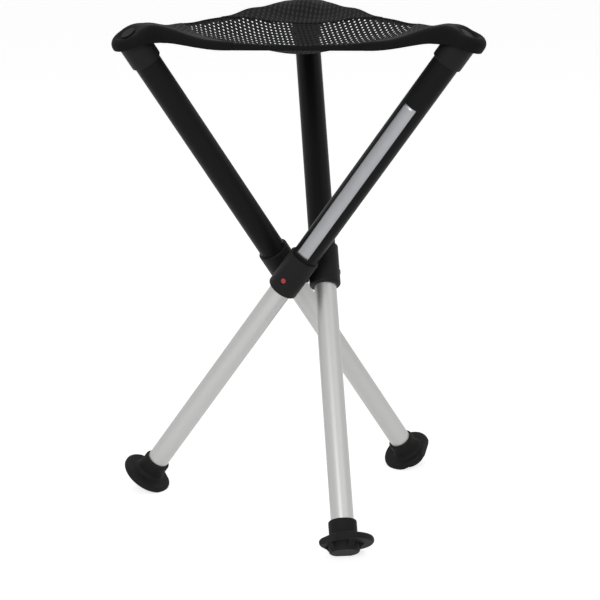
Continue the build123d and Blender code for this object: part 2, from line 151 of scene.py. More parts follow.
@dataclass(frozen=True)
class Finish:
    """A finish: base colour and gloss with a fine grain of a real size."""

    name: str
    colour: str
    shade: str
    roughness: float
    metallic: float = 0.0
    grain_mm: float = 0.6
    grain_depth_mm: float = 0.02
    stretch: tuple[float, float, float] = (1.0, 1.0, 1.0)
    mottle_mm: float = 14.0
    rough_swing: float = 0.08
    specular: float = 0.5

    def shader(self, material: bpy.types.Material) -> bpy.types.Node:
        """Give the material's own Principled shader its plain values.

        Args:
            material: Material that is being made.

        Returns:
            The shader's node.
        """
        shader = material.node_tree.nodes["Principled BSDF"]
        shader.inputs["Metallic"].default_value = self.metallic
        shader.inputs["Specular IOR Level"].default_value = self.specular
        return shader

    def make(self, turn: tuple[float, float, float] = (0.0, 0.0, 0.0)) -> bpy.types.Material:
        """Make the material.

        Args:
            turn: Turn of the grain, for pieces that stand at an angle.

        Returns:
            The finished material.
        """
        material = bpy.data.materials.new(self.name)
        material.use_nodes = True
        tree = material.node_tree
        shader = self.shader(material)
        place = add_node(tree, "ShaderNodeTexCoord")
        turned = add_node(tree, "ShaderNodeMapping", {"Vector": place.outputs["Object"], "Rotation": turn},
                          vector_type="TEXTURE")
        drawn = add_node(tree, "ShaderNodeMapping", {"Vector": turned.outputs[0], "Scale": self.stretch})
        grain = add_node(tree, "ShaderNodeTexNoise", {
            "Vector": drawn.outputs[0], "Scale": 1 / (self.grain_mm * MM), "Detail": 3.0})
        mottle = add_node(tree, "ShaderNodeTexNoise", {
            "Vector": drawn.outputs[0], "Scale": 1 / (self.mottle_mm * MM), "Detail": 2.0})
        colour = add_node(tree, "ShaderNodeMix", data_type="RGBA", links={
            0: mottle.outputs["Fac"], 6: linear(self.shade), 7: linear(self.colour)})
        rough = add_node(tree, "ShaderNodeMapRange", {
            "Value": grain.outputs["Fac"], "To Min": self.roughness - self.rough_swing,
            "To Max": self.roughness + self.rough_swing})
        bump = add_node(tree, "ShaderNodeBump", {
            "Height": grain.outputs["Fac"], "Strength": 1.0, "Distance": self.grain_depth_mm * MM})
        tree.links.new(colour.outputs[2], shader.inputs["Base Color"])
        tree.links.new(rough.outputs[0], shader.inputs["Roughness"])
        tree.links.new(bump.outputs[0], shader.inputs["Normal"])
        return material


@dataclass(frozen=True)
class MeshCloth(Finish):
    """Knitted polyester laid double, with the columns of its openings showing, smooth at the corners, and a
    highlight painted along the corner patches' inner edge.
    """

    column_mm: float = 4.4
    row_mm: float = 7.5
    lean_deg: float = 8.0
    thread: str = "#151516"
    opening: str = "#3a3a3c"
    # Pale colour of the highlight painted along the corner patches' inner edge
    edging: str = "#5a5a5c"
    row_weight: float = 0.5
    pit_edge: float = 0.1
    pit_depth_mm: float = 0.5
    # Strength from which the painted edge highlight starts to show
    seam_highlight_from: float = 0.5

    def make(self, turn: tuple[float, float, float] = (0.0, 0.0, 0.0)) -> bpy.types.Material:
        """Make the material: the grain of any finish with rows of closed openings on it, and a pale highlight
        painted along the corner patches' inner edge.

        Args:
            turn: Turn of the fine grain.

        Returns:
            The finished material.
        """
        material = super().make(turn)
        tree = material.node_tree
        shader = tree.nodes["Principled BSDF"]
        place = add_node(tree, "ShaderNodeTexCoord")
        lean = add_node(tree, "ShaderNodeMapping", {
            "Vector": place.outputs["Object"], "Rotation": (0.0, 0.0, math.radians(self.lean_deg)),
            "Scale": (1 / (self.column_mm * MM), 1 / (self.row_mm * MM), 1.0)})
        parts = add_node(tree, "ShaderNodeSeparateXYZ", {0: lean.outputs[0]})
        waves = []
        for axis in (0, 1):
            angle = add_node(tree, "ShaderNodeMath", {0: parts.outputs[axis], 1: math.tau},
                             operation="MULTIPLY")
            wave = add_node(tree, "ShaderNodeMath", {0: angle.outputs[0]}, operation="COSINE")
            waves.append(wave.outputs[0])
        both = add_node(tree, "ShaderNodeMath", {0: waves[1], 1: self.row_weight, 2: waves[0]},
                        operation="MULTIPLY_ADD")
        pit = add_node(tree, "ShaderNodeMapRange", {"Value": both.outputs[0], "From Min": self.pit_edge},
                       interpolation_type="SMOOTHSTEP")
        plain = add_node(tree, "ShaderNodeAttribute", attribute_name=PLAIN)
        shown = add_node(tree, "ShaderNodeMapRange", {
            "Value": plain.outputs["Fac"], "To Min": 1.0, "To Max": 0.0})
        depth = add_node(tree, "ShaderNodeMath", {0: pit.outputs[0], 1: shown.outputs[0]},
                         operation="MULTIPLY")
        colour = shader.inputs["Base Color"].links[0].from_socket
        # The last layer paints a pale highlight along the corner patches' inner edge, read from a point
        # attribute
        seam_highlight = add_node(tree, "ShaderNodeAttribute", attribute_name=SEAM_HIGHLIGHT)
        line = add_node(tree, "ShaderNodeMapRange", {"Value": seam_highlight.outputs["Fac"], "From Min": self.seam_highlight_from})
        layers = ((shown.outputs[0], self.thread), (depth.outputs[0], self.opening),
                  (line.outputs[0], self.edging))
        for share, tint in layers:
            mixed = add_node(tree, "ShaderNodeMix", {0: share, 6: colour, 7: linear(tint)}, data_type="RGBA")
            colour = mixed.outputs[2]
        tree.links.new(colour, shader.inputs["Base Color"])
        bump = tree.nodes["Bump"]
        deep = add_node(tree, "ShaderNodeBump", {
            "Height": depth.outputs[0], "Normal": bump.outputs[0], "Strength": 1.0,
            "Distance": self.pit_depth_mm * MM}, invert=True)
        tree.links.new(deep.outputs[0], shader.inputs["Normal"])
        return material


# Satin black anodising on drawn tube: even, with a soft highlight along the tube
BLACK_ANODISED = Finish("black_anodised_tube", "#1c1c1d", "#18181a", 0.42, grain_mm=0.5, grain_depth_mm=0.004,
                        stretch=(1.0, 1.0, 0.08), mottle_mm=30.0, specular=0.07)
# Clear anodised aluminium: pale grey metal with a broad satin highlight and faint drawing lines
CLEAR_ANODISED = Finish("clear_anodised_tube", "#c5c5c4", "#bdbdbc", 0.4, metallic=0.72, grain_mm=0.5,
                        grain_depth_mm=0.003, stretch=(1.0, 1.0, 0.04), mottle_mm=40.0, rough_swing=0.05,
                        specular=0.3)
# Glass-filled nylon from a spark-eroded mould: dark grey, dull, finely pebbled
MOULDED_NYLON = Finish("moulded_nylon", "#252526", "#202021", 0.5, grain_mm=0.5,
                       grain_depth_mm=0.02, specular=0.1)
# Smooth moulded acetal of the seat rivets: black with a dull gloss
RIVET_ACETAL = Finish("rivet_acetal", "#141415", "#121213", 0.5, grain_mm=0.7,
                      grain_depth_mm=0.008, specular=0.08)
# Red pigmented acetal of the buttons: the one colour on the stool, smooth with a small highlight
RED_ACETAL = Finish("red_acetal", "#b8393c", "#a83135", 0.38, grain_mm=0.8, grain_depth_mm=0.006)
# Zinc plated spring steel and rivets inside the legs: bright grey metal, hidden at rest
PLATED_STEEL = Finish("plated_steel", "#a8a8ab", "#9b9ba0", 0.35, metallic=1.0, grain_mm=0.4,
                      grain_depth_mm=0.004)
# Moulded rubber: black, dull, faintly dusty
MOULDED_RUBBER = Finish("moulded_rubber", "#282828", "#232323", 0.6, grain_mm=0.6, grain_depth_mm=0.03,
                        mottle_mm=10.0, specular=0.08)
# Knitted polyester of the open net: matt black threads
KNIT_THREAD = Finish("knit_polyester", "#161617", "#101011", 0.8, grain_mm=0.8,
                     grain_depth_mm=0.05, specular=0.1)
# The same knit laid double at hems and corners: its closed openings show as pale columns, as coarse as the
# photograph shows them
DOUBLE_KNIT = MeshCloth("double_knit_polyester", "#131314", "#0f0f10", 0.75, grain_mm=0.7, grain_depth_mm=0.05,
                        specular=0.1)
# Plain silver foil of the bare label: pale satin metal, flat along the tube
SILVER_FOIL = Finish("silver_foil", "#a4a5a8", "#98999c", 0.36, metallic=0.85, grain_mm=0.7,
                     grain_depth_mm=0.004)


@dataclass(frozen=True)
class Stance:
    """Sizes of the open stool that the scene shares with the solids, in millimetres and degrees."""

    tilt: float = 36.0
    waist_radius: float = 23.2
    waist_height: float = 228.142
    axis_x: float = 6.1133
    axis_y: float = -6.8968
    corner_top: float = 289.0
    upper_radius: float = 12.5

    @property
    def spread(self) -> float:
        """How far a leg's top runs out from its pivot."""
        return self.corner_top * math.sin(math.radians(self.tilt))

    @property
    def corner_reach(self) -> float:
        """Stool's axis to a leg's top."""
        return math.hypot(self.waist_radius, self.spread)

    @property
    def top_turn(self) -> float:
        """Turn from a pivot's heading to its seat corner's heading."""
        return math.degrees(math.atan2(self.spread, self.waist_radius))


STANCE = Stance()


def heading(angle: float) -> Vector:
    """Level unit vector at an angle from +X."""
    return Vector((math.cos(math.radians(angle)), math.sin(math.radians(angle)), 0.0))


@dataclass(frozen=True)
class Leg:
    """One leg's name, seat corner heading and directions, all in millimetres."""

    name: str
    corner: float

    @property
    def facing(self) -> float:
        """Heading from the stool's axis to the pivot."""
        return self.corner - STANCE.top_turn

    @property
    def out(self) -> Vector:
        """Outwards along the pivot's line."""
        return heading(self.facing)

    @property
    def along(self) -> Vector:
        """Up the leg's axis."""
        tilt = math.radians(STANCE.tilt)
        return heading(self.facing + 90) * math.sin(tilt) + Vector((0, 0, math.cos(tilt)))

    @property
    def downhill(self) -> Vector:
        """Square to the leg, outwards and down at its top."""
        return self.along.cross(self.out)

    @property
    def pivot(self) -> Vector:
        """Where the leg's axis meets its pivot's line."""
        return Vector((STANCE.axis_x, STANCE.axis_y, STANCE.waist_height)) + self.out * STANCE.waist_radius

    def point(self, height: float, outward: float = 0.0, down: float = 0.0) -> Vector:
        """Point at a height up the leg, set off square to it.

        Args:
            height: Distance up the leg from its pivot.
            outward: Offset along the pivot's line.
            down: Offset downhill.

        Returns:
            The point in millimetres.
        """
        return self.pivot + self.along * height + self.out * outward + self.downhill * down


LEGS = (Leg("a", -30.0), Leg("b", 90.0), Leg("c", 210.0))


def finish_object(name: str, mesh_source: bmesh.types.BMesh, material: bpy.types.Material) -> bpy.types.Object:
    """Turn a bmesh in millimetres into a shaded object at the origin.

    Args:
        name: Name of the piece.
        mesh_source: The bmesh, which is freed.
        material: Finish of the piece.

    Returns:
        The linked object.
    """
    bmesh.ops.scale(mesh_source, vec=Vector((MM, MM, MM)), verts=mesh_source.verts)
    bmesh.ops.recalc_face_normals(mesh_source, faces=mesh_source.faces)
    for face in mesh_source.faces:
        face.smooth = True
    mesh = bpy.data.meshes.new(name)
    mesh_source.to_mesh(mesh)
    mesh_source.free()
    mesh.materials.append(material)
    piece = bpy.data.objects.new(name, mesh)
    bpy.context.scene.collection.objects.link(piece)
    return piece


def mapped_grid(columns: int, rows: int, place: Callable[[int, int], Vector]) -> bmesh.types.BMesh:
    """Make a grid and lay each of its points where a rule says.

    Args:
        columns: Cells across.
        rows: Cells along.
        place: Gives the place of a point from its column and row.

    Returns:
        The laid grid.
    """
    grid = bmesh.new()
    bmesh.ops.create_grid(grid, x_segments=columns, y_segments=rows, size=1.0)
    for vertex in grid.verts:
        column = round((vertex.co.x + 1) / 2 * columns)
        row = round((vertex.co.y + 1) / 2 * rows)
        vertex.co = place(column, row)
    return grid


def add_wall(piece: bpy.types.Object, thickness_mm: float, levels: int, offset: float = -1.0) -> None:
    """Give a sheet its thickness and round it off.

    Args:
        piece: The sheet.
        thickness_mm: Its thickness.
        levels: Subdivision levels.
        offset: Side that the thickness goes to.
    """
    if levels:
        fine = piece.modifiers.new("fine", "SUBSURF")
        fine.levels = fine.render_levels = levels
    wall = piece.modifiers.new("wall", "SOLIDIFY")
    wall.thickness = thickness_mm * MM
    wall.offset = offset


@dataclass(frozen=True)
class EdgeDrape:
    """How one edge of the seat hangs: heights above the waist at places along the edge, in millimetres."""

    heading: float
    rear_end: int
    base: float
    end_rise: float
    dip: float
    low_line: float
    hem_width: float
    dip_at: float = -41.0
    dip_width: float = 14.0
    end_power: float = 2.5
    rear_rise: float = 6.2
    rise_span: tuple[float, float] = (20.0, 66.0)
    tip_span: tuple[float, float] = (80.0, 130.0)
    tip_share: float = 0.16
    rim_width: float = 12.0
    rim_gain: float = 45.0
    rim_span: tuple[float, float] = (75.0, 125.0)
    hem_rise: float = 7.5
    hem_span: tuple[float, float] = (0.5, 1.0)
    half_length: float = 128.0

    def end_share(self, along: float) -> float:
        """How near a place along the edge is to its ends, from 0 at the middle to 1."""
        return min(1.0, abs(along) / self.half_length)

    def sag(self, along: float) -> float:
        """Height of the taut cloth.

        Args:
            along: Place along the edge, from its middle.

        Returns:
            Height above the floor.
        """
        place = (along * self.rear_end - self.dip_at) / self.dip_width
        dip = self.dip * math.exp(-place * place / 2)
        rise = self.end_rise * self.end_share(along) ** self.end_power
        return STANCE.waist_height + self.base + rise - dip

    def rim(self, along: float) -> float:
        """How far the edge itself stands up above the taut cloth, towards the rear corner.

        Args:
            along: Place along the edge, from its middle.

        Returns:
            Rise above the taut cloth.
        """
        toward_rear = along * self.rear_end
        slope = smooth_step(*self.rise_span, toward_rear)
        tip = smooth_step(*self.tip_span, toward_rear)
        return self.rear_rise * ((1 - self.tip_share) * slope + self.tip_share * tip)

    def rim_reach(self, along: float) -> float:
        """How far in from the edge that rise runs out, wide enough at the rear corner to crown it."""
        return self.rim_width + self.rim_gain * smooth_step(*self.rim_span, along * self.rear_end)

    def lower(self, along: float) -> float:
        """Height of the turned-down hem's lower line."""
        rise = self.hem_rise * smooth_step(*self.hem_span, self.end_share(along))
        return STANCE.waist_height + self.low_line + rise


@dataclass
class SeatShape:
    """The slung seat's drape: a dish between three corners, in millimetres."""

    middle: float = 437.5
    rim: float = 156.48
    rim_height: float = 468.8
    hollow: float = 25.0
    edge: float = 95.0
    lift_reach: float = 26.0
    turned_span: tuple[float, float] = (0.5, 2.5)
    drapes: tuple[EdgeDrape, ...] = (
        EdgeDrape(heading=150.0, rear_end=-1, base=237.3, end_rise=0.0, dip=1.3, low_line=231.8, hem_width=3.6),
        EdgeDrape(heading=30.0, rear_end=1, base=237.3, end_rise=0.0, dip=1.3, low_line=231.8, hem_width=3.6),
        EdgeDrape(heading=270.0, rear_end=0, base=226.6, end_rise=13.3, dip=0.0, low_line=220.6, hem_width=7.5),
    )

    def dish(self, radius: float) -> float:
        """Height of the plain dish.

        Args:
            radius: Distance from the stool's axis.

        Returns:
            Height above the floor.
        """
        slope = (self.rim_height - self.middle) / (self.rim - self.hollow / 2)
        if radius < self.hollow:
            return self.middle + slope * radius * radius / (2 * self.hollow)
        return self.middle + slope * (radius - self.hollow / 2)

    def height(self, plan: Vector) -> float:
        """Height of the seat's top at a place in plan, from the stool's axis.

        Args:
            plan: Place from the stool's axis.

        Returns:
            Height above the floor.
        """
        base = self.dish(plan.length)
        lifts, weights, rims = 0.0, 0.0, 0.0
        for drape in self.drapes:
            square, run = heading(drape.heading), heading(drape.heading + 90)
            inward = max(0.0, self.edge - plan.dot(square))
            along = plan.dot(run)
            weight = math.exp(-((inward / self.lift_reach) ** 2))
            at_edge = math.hypot(self.edge, along)
            lifts += weight * (drape.sag(along) - self.dish(at_edge))
            weights += weight
            rims = max(rims, drape.rim(along) * math.exp(-((inward / drape.rim_reach(along)) ** 2)))
        return base + lifts / max(1.0, weights) + rims

    def edging(self, plan: Vector) -> float:
        """How far a place in plan is inside the nearest edge."""
        return min(self.edge - plan.dot(heading(drape.heading)) for drape in self.drapes)

    def turned_down(self, place: Vector) -> float:
        """Share, from 0 on the seat's top to 1 below it, by which a place belongs to a turned-down edge."""
        return smooth_step(*self.turned_span, self.height(Vector((place.x, place.y, 0.0))) - place.z)


SEAT = SeatShape()
AXIS_FOOT = Vector((STANCE.axis_x, STANCE.axis_y, 0.0))


def paint(piece: bpy.types.Object, name: str, rule: Callable[[Vector], float]) -> None:
    """Give each point of a piece a value that its material reads.

    Args:
        piece: The piece.
        name: Name of the attribute.
        rule: Gives the value at a place, in millimetres from the foot of the stool's axis.
    """
    values = piece.data.attributes.new(name, "FLOAT", "POINT").data
    for vertex, value in zip(piece.data.vertices, values):
        value.value = rule(vertex.co / MM - AXIS_FOOT)


@dataclass
class SeatNet:
    """Open knitted mesh in the middle of the seat: one holed sheet, in millimetres."""

    column: float = 4.4
    row: float = 7.5
    columns: int = 48
    rows: int = 30
    lean: float = 8.0
    bar: float = 1.2
    hole_share: float = 0.85
    thickness: float = 0.4
    hem_edge: float = 93.2
    patch_edge: float = 101.0
    sink: float = 1.4

    def knit(self) -> bmesh.types.BMesh:
        """Make the net flat: a grid with a hole in each cell, cut to the seat's outline.

        Returns:
            The net about the stool's axis.
        """
        net = bmesh.new()
        bmesh.ops.create_grid(net, x_segments=self.columns, y_segments=self.rows, size=1.0)
        half = Vector((self.columns * self.column / 2, self.rows * self.row / 2, 1.0))
        bmesh.ops.scale(net, vec=half, verts=net.verts)
        ring = bmesh.ops.inset_individual(net, faces=net.faces[:], thickness=self.bar, use_even_offset=True)
        bars = set(ring["faces"])
        holes = [face for face in net.faces if face not in bars]
        for hole in holes:
            middle = Matrix.Translation(-hole.calc_center_median())
            bmesh.ops.scale(net, vec=Vector((1.0, self.hole_share, 1.0)), space=middle, verts=hole.verts)
        bmesh.ops.delete(net, geom=holes, context="FACES")
        lean = Matrix.Rotation(math.radians(self.lean), 3, "Z")
        bmesh.ops.rotate(net, cent=Vector(), matrix=lean, verts=net.verts)
        for turn in (0, 120, 240):
            for angle, limit in ((150 + turn, self.hem_edge), (90 + turn, self.patch_edge)):
                square = heading(angle)
                cut = net.verts[:] + net.edges[:] + net.faces[:]
                bmesh.ops.bisect_plane(net, geom=cut, plane_co=square * limit, plane_no=square,
                                       clear_outer=True)
        bmesh.ops.remove_doubles(net, verts=net.verts, dist=0.01)
        return net

    def build(self) -> bpy.types.Object:
        """Lay the net in the seat's dish and dress it.

        Returns:
            The net.
        """
        net = self.knit()
        for vertex in net.verts:
            plan = Vector((vertex.co.x, vertex.co.y, 0.0))
            vertex.co = AXIS_FOOT + plan + Vector((0, 0, SEAT.height(plan) - self.sink))
        piece = finish_object("seat_net", net, KNIT_THREAD.make())
        add_wall(piece, self.thickness, 1, 0.0)
        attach(piece, "hub")
        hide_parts("seat_mesh")
        return piece


@dataclass
class SeatHem:
    """Turned-down hems along the three edges, between the corner patches, in millimetres."""

    fold: float = 2.5
    thickness: float = 1.4
    patch_edge: float = 95.0
    overlap: float = 4.0
    sink: float = 0.3
    least_skirt: float = 0.5
    tops: int = 4
    folds: int = 4
    skirts: int = 3
    rows: int = 30

    @property
    def half(self) -> float:
        """Half of a hem's length."""
        return (self.patch_edge - SEAT.edge / 2) / math.cos(math.radians(30)) + self.overlap

    def top(self, drape: EdgeDrape, inward: float, along: float) -> Vector:
        """Point of a hem's flat top.

        Args:
            drape: Edge that the hem belongs to.
            inward: Distance in from the edge.
            along: Place along the edge.

        Returns:
            The point.
        """
        plan = heading(drape.heading) * (SEAT.edge - inward) + heading(drape.heading + 90) * along
        return AXIS_FOOT + plan + Vector((0, 0, SEAT.height(plan) - self.sink))

    def lay(self, drape: EdgeDrape, column: int, row: int) -> Vector:
        """Place of one point of a hem.

        Args:
            drape: Edge that the hem belongs to.
            column: Column from the hem's inner side over the fold to its lower line.
            row: Row along the edge.

        Returns:
            The point.
        """
        along = self.half * (2 * row / self.rows - 1)
        if column <= self.tops:
            inward = drape.hem_width + (self.fold - drape.hem_width) * column / self.tops
            spread = 1 + (inward - self.fold) * math.tan(math.radians(30)) / self.half
            return self.top(drape, inward, along * spread)
        step = column - self.tops
        turn = math.pi / 2 * min(1.0, step / self.folds)
        out = heading(drape.heading) * self.fold * math.sin(turn)
        point = self.top(drape, self.fold, along) + out - Vector((0, 0, self.fold * (1 - math.cos(turn))))
        if step > self.folds:
            drop = min(point.z - self.least_skirt, drape.lower(along)) - point.z
            point.z += drop * (step - self.folds) / self.skirts
        return point

    def build(self) -> bpy.types.Object:
        """Build the three hems as one piece and dress it.

        Returns:
            The hems.
        """
        hems = bmesh.new()
        for drape in SEAT.drapes:
            strip = mapped_grid(self.tops + self.folds + self.skirts, self.rows, partial(self.lay, drape))
            strip_mesh = bpy.data.meshes.new("strip")
            strip.to_mesh(strip_mesh)
            strip.free()
            hems.from_mesh(strip_mesh)
            bpy.data.meshes.remove(strip_mesh)
        piece = finish_object("seat_hem", hems, DOUBLE_KNIT.make())
        paint(piece, PLAIN, SEAT.turned_down)
        add_wall(piece, self.thickness, 1)
        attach(piece, "hub")
        return piece


@dataclass(frozen=True)
class ArmTurn:
    """Reaches from the stool's axis between which an arm's form turns into its hood's, in millimetres."""

    fold: tuple[float, float] = (85.0, 130.0)
    hem: tuple[float, float] = (136.0, 168.0)
    outward: tuple[float, float] = (140.0, 164.0)
    cap_from: float = 130.0
    skew_from: float = 148.0
    narrow_from: float = 150.0
    leg_from: float = 150.0


class Rim(NamedTuple):
    """Rim of a corner's flat top on one side: its place in plan and how the cloth turns down there."""

    place: Vector
    outward: Vector
    down: Vector
    fold: float
    drop: float


@dataclass
class SeatCorner:
    """One corner of the seat: patch, arm and the hood drawn over the leg's cap, in millimetres."""

    leg: Leg
    inner: float = 95.0
    hood_radius: float = 20.0
    hood_fold: float = 7.0
    arm_fold: float = 2.5
    arm_round: float = 6.0
    cap_round: float = 7.0
    hem_height: float = 280.0
    hem_slant: float = 19.5
    least_skirt: float = 0.8
    bump: float = 5.0
    bump_from: float = 112.0
    bump_to: float = 148.0
    crown: float = 0.0
    crown_width: float = 13.0
    puff: float = 1.5
    puff_ring: tuple[float, float] = (7.0, 13.0)
    nose: float = 4.0
    nose_ring: tuple[float, float] = (9.0, 18.0)
    nose_share: float = 0.6
    bulge: float = 1.0
    sweep: float = 0.0
    thickness: float = 1.4
    arm_rows: int = 30
    hood_rows: int = 10
    tops: int = 16
    folds: int = 5
    skirts: int = 4
    bound_span: tuple[float, float] = (3.5, 5.5)
    plain_from: float = 104.0
    plain_to: float = 122.0
    # Strength of the pale highlight painted along the patch's inner edge
    seam_highlight: float = 1.0
    cloth_area: float = 0.008
    turn: ArmTurn = ArmTurn()

    def __post_init__(self) -> None:
        """Work out the corner's own directions and places."""
        self.run = heading(self.leg.corner)
        self.side = heading(self.leg.corner + 90)
        self.centre = self.leg.point(STANCE.corner_top)
        self.below = Vector((self.centre.x, self.centre.y, 0.0))
        self.reach = STANCE.corner_reach

    def cap_plane(self, plan: Vector) -> float:
        """Height of the cloth's top over the cap's end.

        Args:
            plan: Place from the stool's axis.

        Returns:
            Height above the floor.
        """
        away = AXIS_FOOT + plan - self.below
        along = self.leg.along
        away.z = -(away.x * along.x + away.y * along.y) / along.z
        outer = max(0.0, away.dot(self.leg.downhill)) / max(0.1, away.length)
        nose = self.nose * outer * smooth_step(*self.nose_ring, away.length)
        return self.centre.z + away.z + self.puff * smooth_step(*self.puff_ring, away.length) + nose

    def top(self, plan: Vector) -> Vector:
        """Point of the cloth's top.

        Args:
            plan: Place from the stool's axis.

        Returns:
            The point.
        """
        reach = plan.dot(self.run)
        crown = self.crown * math.exp(-((plan.dot(self.side) / self.crown_width) ** 2))
        height = SEAT.height(plan) + (self.bump + crown) * smooth_step(self.bump_from, self.bump_to, reach)
        if reach > self.turn.cap_from:
            height = smooth_min(height, self.cap_plane(plan), self.cap_round)
        return AXIS_FOOT + plan + Vector((0, 0, height))

    def edge_drape(self, sign: int) -> EdgeDrape:
        """The drape of the edge on one side of the corner."""
        wanted = (self.leg.corner + 60 * sign) % 360
        return next(d for d in SEAT.drapes if abs(d.heading % 360 - wanted) < 1)

    def hood_rim(self, row: int, sign: int) -> Rim:
        """Rim of the hood at a row, round the cap.

        Args:
            row: Row, from the hood's start to its tip.
            sign: 1 for the side anticlockwise of the corner, -1 for the other.

        Returns:
            The rim.
        """
        angle = math.pi / 2 * (1 - (row - self.arm_rows) / self.hood_rows)
        flat = self.hood_radius - self.hood_fold + self.bulge * math.cos(angle)
        outward = self.leg.out * -sign * math.sin(angle) + self.leg.downhill * math.cos(angle)
        place = self.centre + outward * flat - AXIS_FOOT
        hem = self.hem_height + math.tan(math.radians(self.hem_slant)) * self.hood_radius * math.cos(angle)
        top = STANCE.corner_top + self.puff + self.nose_share * self.nose * math.cos(angle)
        drop = max(self.least_skirt, top - self.hood_fold - hem)
        return Rim(Vector((place.x, place.y, 0)), outward, -self.leg.along, self.hood_fold, drop)

    def arm_rim(self, row: int, sign: int) -> Rim:
        """Rim of the patch and arm at a row.

        Args:
            row: Row, from the patch's inner edge to the hood's start.
            sign: 1 for the side anticlockwise of the corner, -1 for the other.

        Returns:
            The rim.
        """
        lateral = self.leg.out * -sign
        start = self.inner - self.sweep
        reach = start + (self.reach - start) * row / self.arm_rows
        fold = self.arm_fold + (self.hood_fold - self.arm_fold) * smooth_step(*self.turn.fold, reach)
        wide = (SEAT.edge - reach / 2) / math.cos(math.radians(30))
        flat = -smooth_min(-wide, -self.hood_radius, self.arm_round) - fold
        narrow = smooth_step(self.turn.narrow_from, self.reach, reach)
        flat += (self.hood_radius - self.hood_fold - flat) * narrow
        straight = self.run * reach + self.side * sign * flat
        skewed = self.below - AXIS_FOOT + lateral * flat - self.run * (self.reach - reach)
        place = straight.lerp(skewed, smooth_step(self.turn.skew_from, self.reach, reach))
        blend = smooth_step(*self.turn.hem, reach)
        down = Vector((0, 0, -1)).lerp(-self.leg.along, blend).normalized()
        aside = heading(self.leg.corner + 60 * sign)
        outward = aside.lerp(lateral, smooth_step(*self.turn.outward, reach)).normalized()
        outward = (outward - down * outward.dot(down)).normalized()
        drape = self.edge_drape(sign)
        arm_hem = drape.lower(heading(drape.heading + 90).dot(place))
        hem = arm_hem + (self.leg.point(self.hem_height).z - arm_hem) * blend
        crest = self.top(place).z + fold * down.z
        return Rim(place, outward, down, fold, max(self.least_skirt, (crest - hem) / -down.z))

    def rim(self, row: int, sign: int) -> Rim:
        """Rim of the flat top on one side at a row."""
        return self.hood_rim(row, sign) if row > self.arm_rows else self.arm_rim(row, sign)

    def lay(self, column: int, row: int) -> Vector:
        """Place of one point of the corner's sheet.

        Args:
            column: Column from one hem over the top to the other.
            row: Row from the patch's inner edge to the hood's tip.

        Returns:
            The point.
        """
        turned = self.folds + self.skirts
        last = 2 * turned + self.tops
        if turned <= column <= last - turned:
            share = (column - turned) / self.tops
            left, right = self.rim(row, 1).place, self.rim(row, -1).place
            back = self.sweep * max(0.0, 1 - row / self.arm_rows) * (1 - (2 * share - 1) ** 2)
            return self.top(left.lerp(right, share) + self.run * back)
        sign = 1 if column < turned else -1
        step = turned - column if column < turned else column - (last - turned)
        rim = self.rim(row, sign)
        angle = math.pi / 2 * min(1.0, step / self.folds)
        point = self.top(rim.place) + rim.outward * rim.fold * math.sin(angle)
        point += rim.down * rim.fold * (1 - math.cos(angle))
        if step > self.folds:
            point += rim.down * rim.drop * (step - self.folds) / self.skirts
        return point

    def plainness(self, place: Vector) -> float:
        """Share by which the cloth is smooth: at its bound edge, where it turns down and at the hood.

        Args:
            place: Place from the foot of the stool's axis.

        Returns:
            Share from 0 to 1.
        """
        plan = Vector((place.x, place.y, 0.0))
        bound = 1 - smooth_step(*self.bound_span, SEAT.edging(plan))
        hood = smooth_step(self.plain_from, self.plain_to, plan.dot(self.run))
        return max(SEAT.turned_down(place), bound, hood)

    def build(self) -> bpy.types.Object:
        """Build the corner's sheet and dress it.

        Returns:
            The corner's cloth.
        """
        turned = self.folds + self.skirts
        sheet = mapped_grid(2 * turned + self.tops, self.arm_rows + self.hood_rows, self.lay)
        bmesh.ops.remove_doubles(sheet, verts=sheet.verts, dist=0.05)
        sheet.verts.index_update()
        edge = [self.lay(column, 0) for column in range(turned, turned + self.tops + 1)]
        inner_edge = [v.index for v in sheet.verts if min((v.co - place).length for place in edge) < 0.1]
        piece = finish_object(f"seat_corner_cloth_{self.leg.name}", sheet, DOUBLE_KNIT.make())
        paint(piece, PLAIN, self.plainness)
        # Mark the patch's inner edge for the highlight painted there
        seam_highlight = piece.data.attributes.new(SEAM_HIGHLIGHT, "FLOAT", "POINT")
        for index in inner_edge:
            seam_highlight.data[index].value = self.seam_highlight
        add_wall(piece, self.thickness, 1)
        level = AXIS_FOOT + Vector((0, 0, SEAT.height(self.run * self.inner)))
        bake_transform(piece)
        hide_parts(f"seat_corner_{self.leg.name}", "seat_border")
        return piece


@dataclass
class TubeLabel:
    """Bare foil label on the front leg's upper tube, in millimetres."""

    leg: Leg
    low: float = 30.0
    high: float = 209.0
    half_arc: float = 29.5
    rise: float = 0.08
    thickness: float = 0.12
    columns: int = 16
    rows: int = 60

    def lay(self, column: int, row: int) -> Vector:
        """Place of one point of the foil on the tube.

        Args:
            column: Column round the tube.
            row: Row along it.

        Returns:
            The point.
        """
        radius = STANCE.upper_radius + self.rise
        angle = math.radians(self.half_arc) * (2 * column / self.columns - 1)
        height = self.low + (self.high - self.low) * row / self.rows
        return self.leg.point(height, radius * math.cos(angle), radius * math.sin(angle))

    def build(self) -> bpy.types.Object:
        """Wrap the foil on the tube and dress it.

        Returns:
            The label.
        """
        foil = mapped_grid(self.columns, self.rows, self.lay)
        piece = finish_object("tube_label", foil, SILVER_FOIL.make())
        add_wall(piece, self.thickness, 0, 1.0)
        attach(piece, f"leg_{self.leg.name}")
        return piece


